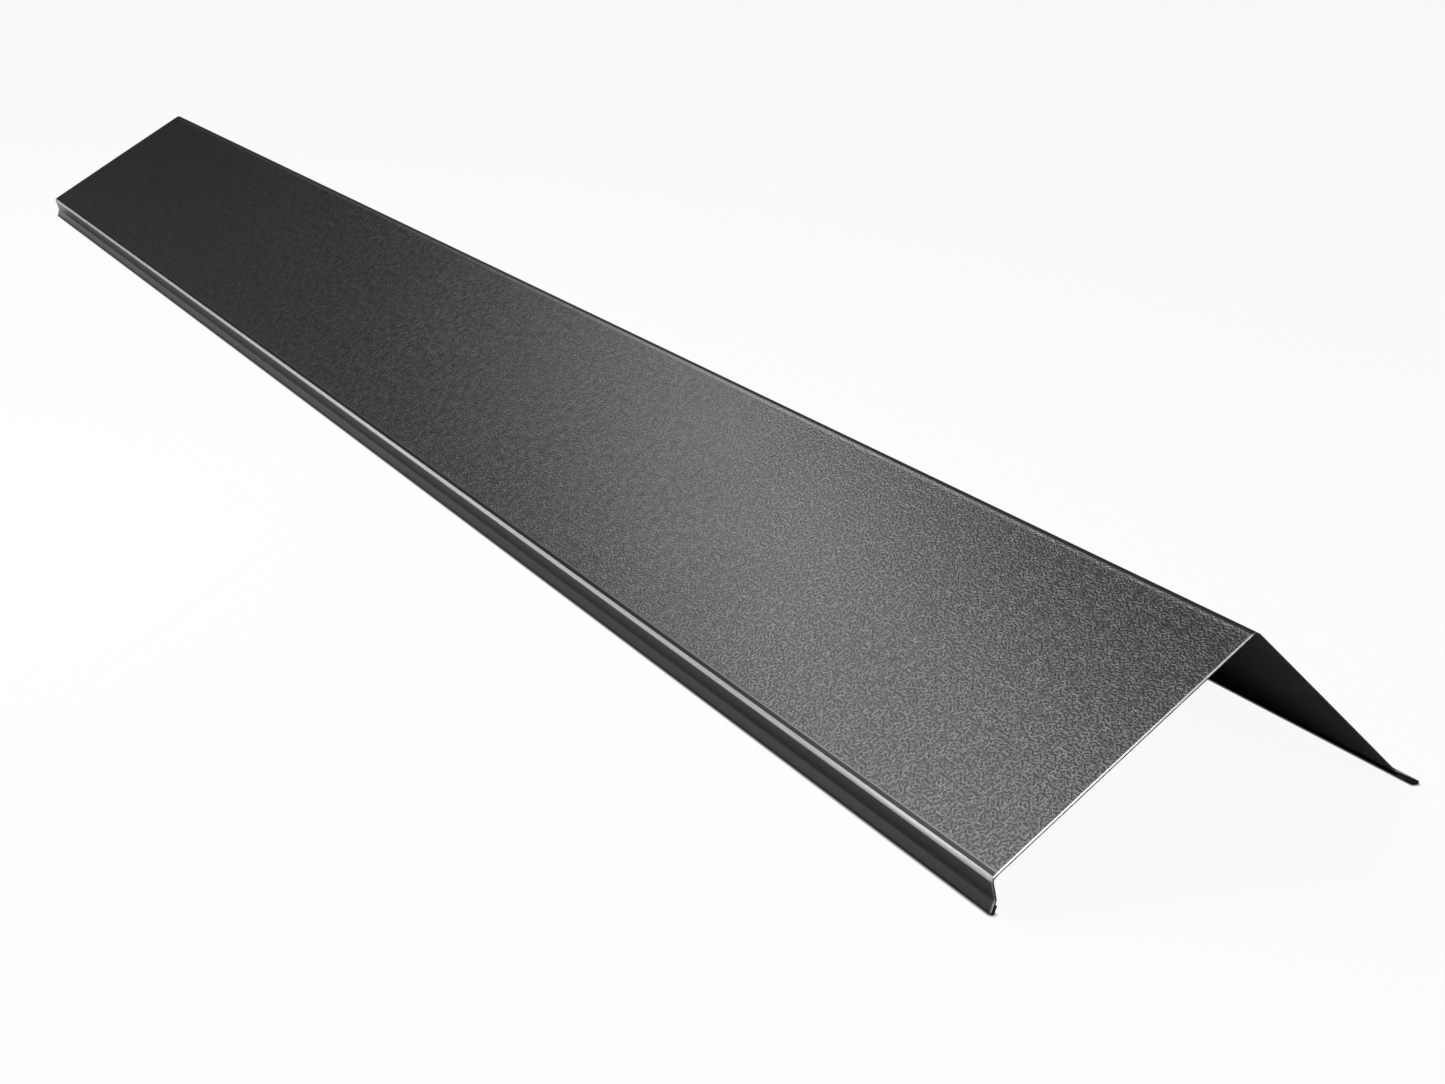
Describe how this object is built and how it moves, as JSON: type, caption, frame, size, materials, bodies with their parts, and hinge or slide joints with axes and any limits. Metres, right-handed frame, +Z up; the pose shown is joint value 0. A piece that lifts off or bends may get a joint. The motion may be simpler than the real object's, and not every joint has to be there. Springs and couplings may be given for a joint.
{
  "type": "verge flashing",
  "caption": "Folded coated-steel verge flashing with a wide top, a deep drip leg and a narrow hemmed lip.",
  "frame": {"origin": "centre of the footprint, on the floor that the two hems rest on", "axes": "+Y along the length, +X from the lip towards the deep leg, +Z up"},
  "size_m": [0.3606, 2, 0.1357],
  "materials": {
    "coated_steel": "anthracite embossed organic coating on galvanised steel, low sheen"
  },
  "bodies": {
    "root": {"verge_flashing": "coated_steel"}
  },
  "joints": []
}
